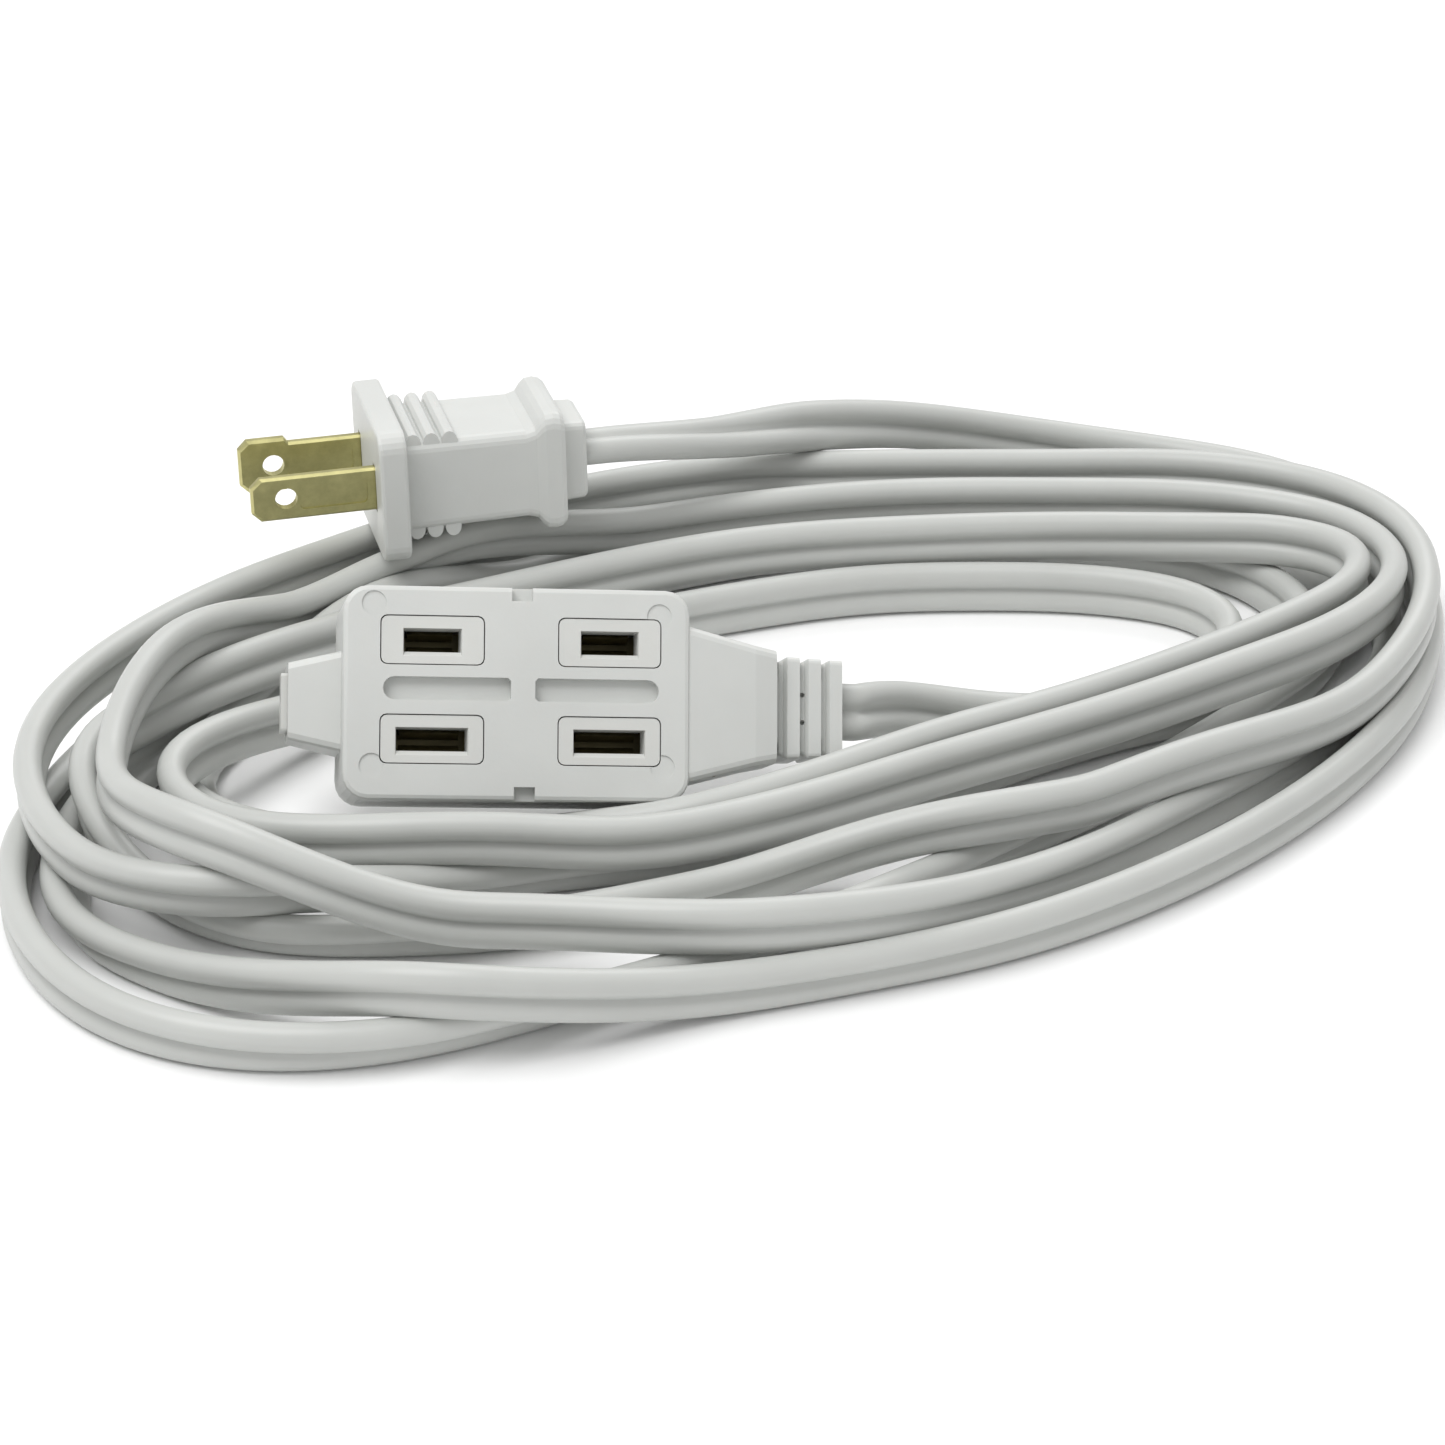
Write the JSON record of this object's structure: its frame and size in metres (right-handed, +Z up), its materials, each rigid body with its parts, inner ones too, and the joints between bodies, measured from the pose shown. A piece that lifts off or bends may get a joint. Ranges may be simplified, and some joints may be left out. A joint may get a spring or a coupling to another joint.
{
  "type": "household extension cord",
  "caption": "Flat two-conductor extension cord in a loose coil, with a polarised two-blade plug and a moulded block of two-slot outlets.",
  "frame": {"origin": "bottom centre of the outlet block as it leans in the coil, on the surface it rests on", "axes": "+X along the outlet block towards its cord, +Y from the outlet face to the back, +Z up"},
  "size_m": [0.1958, 0.1664, 0.0361],
  "materials": {
    "overmould": "satin soft moulding",
    "housing": "satin hard moulding",
    "insulation": "smooth extruded jacket",
    "brass": "stamped, slightly dull",
    "copper": "bare stranded copper"
  },
  "bodies": {
    "root": {"outlet_overmould": "overmould", "outlet_carrier": "housing", "outlet_carrier_cover": "housing", "hot_contact_strip": "brass", "neutral_contact_strip": "brass", "hot_core_outlet": "insulation", "neutral_core_outlet": "insulation", "hot_strands_outlet": "copper", "neutral_strands_outlet": "copper", "plug_overmould": "overmould", "plug_blade_bridge": "housing", "hot_blade": "brass", "neutral_blade": "brass", "hot_core_plug": "insulation", "neutral_core_plug": "insulation", "hot_strands_plug": "copper", "neutral_strands_plug": "copper", "cord_outlet_lead": "insulation", "cord_plug_lead": "insulation", "cord_coil": "insulation"}
  },
  "joints": []
}
